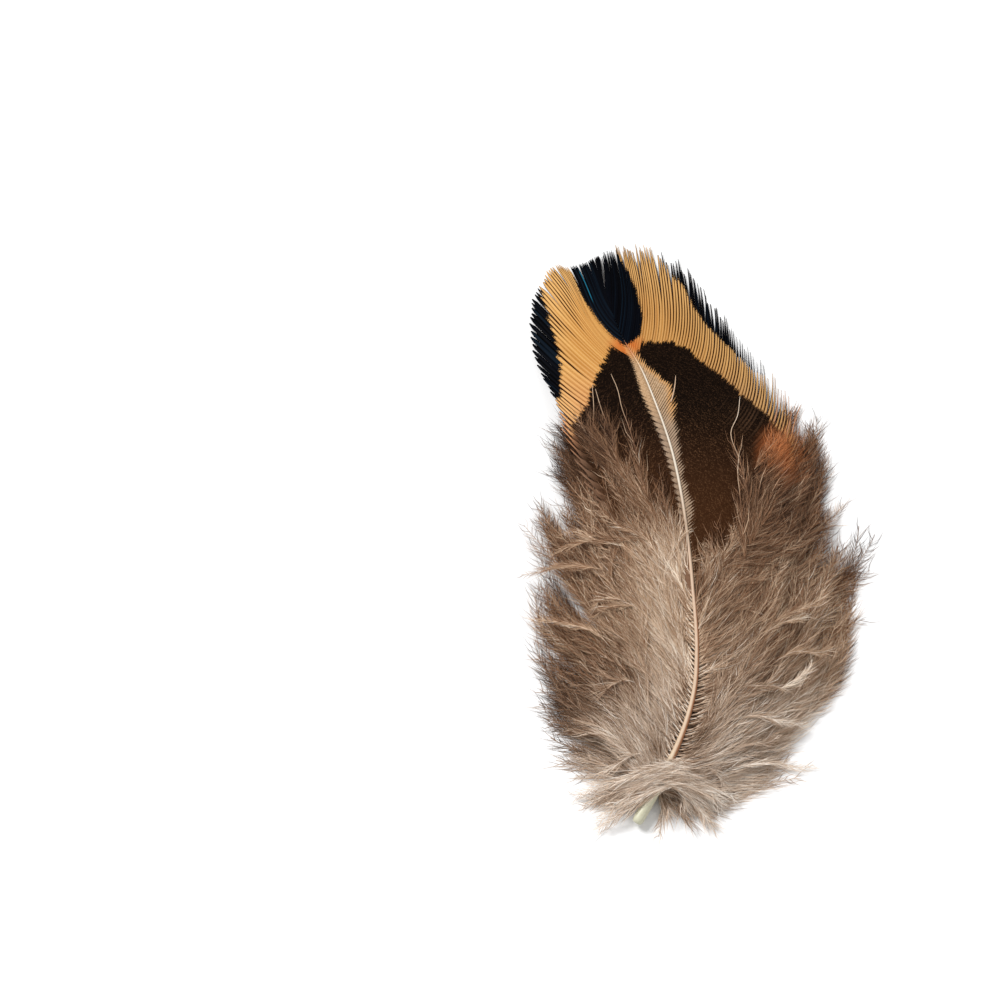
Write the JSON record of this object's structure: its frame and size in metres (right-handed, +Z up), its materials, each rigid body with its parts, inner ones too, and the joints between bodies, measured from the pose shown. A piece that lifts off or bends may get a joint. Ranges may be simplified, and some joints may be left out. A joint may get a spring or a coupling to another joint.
{
  "type": "pheasant body feather",
  "caption": "Short curved body feather with a bare quill, fluffy taupe down below and a firm gold, dark brown and blue-black vane above, lying with its outer face up.",
  "frame": {"origin": "on the surface that the feather lies on, under the middle of its outline", "axes": "+Y along the feather from the quill towards the tip of the vane, +Z up out of the surface, +X to the right seen from above with the tip away from the viewer"},
  "size_m": [0.0338, 0.064, 0.0068],
  "materials": {
    "down": "matte",
    "vane": "satin",
    "shaft": "satin"
  },
  "bodies": {
    "root": {"feather": "down"}
  },
  "joints": []
}
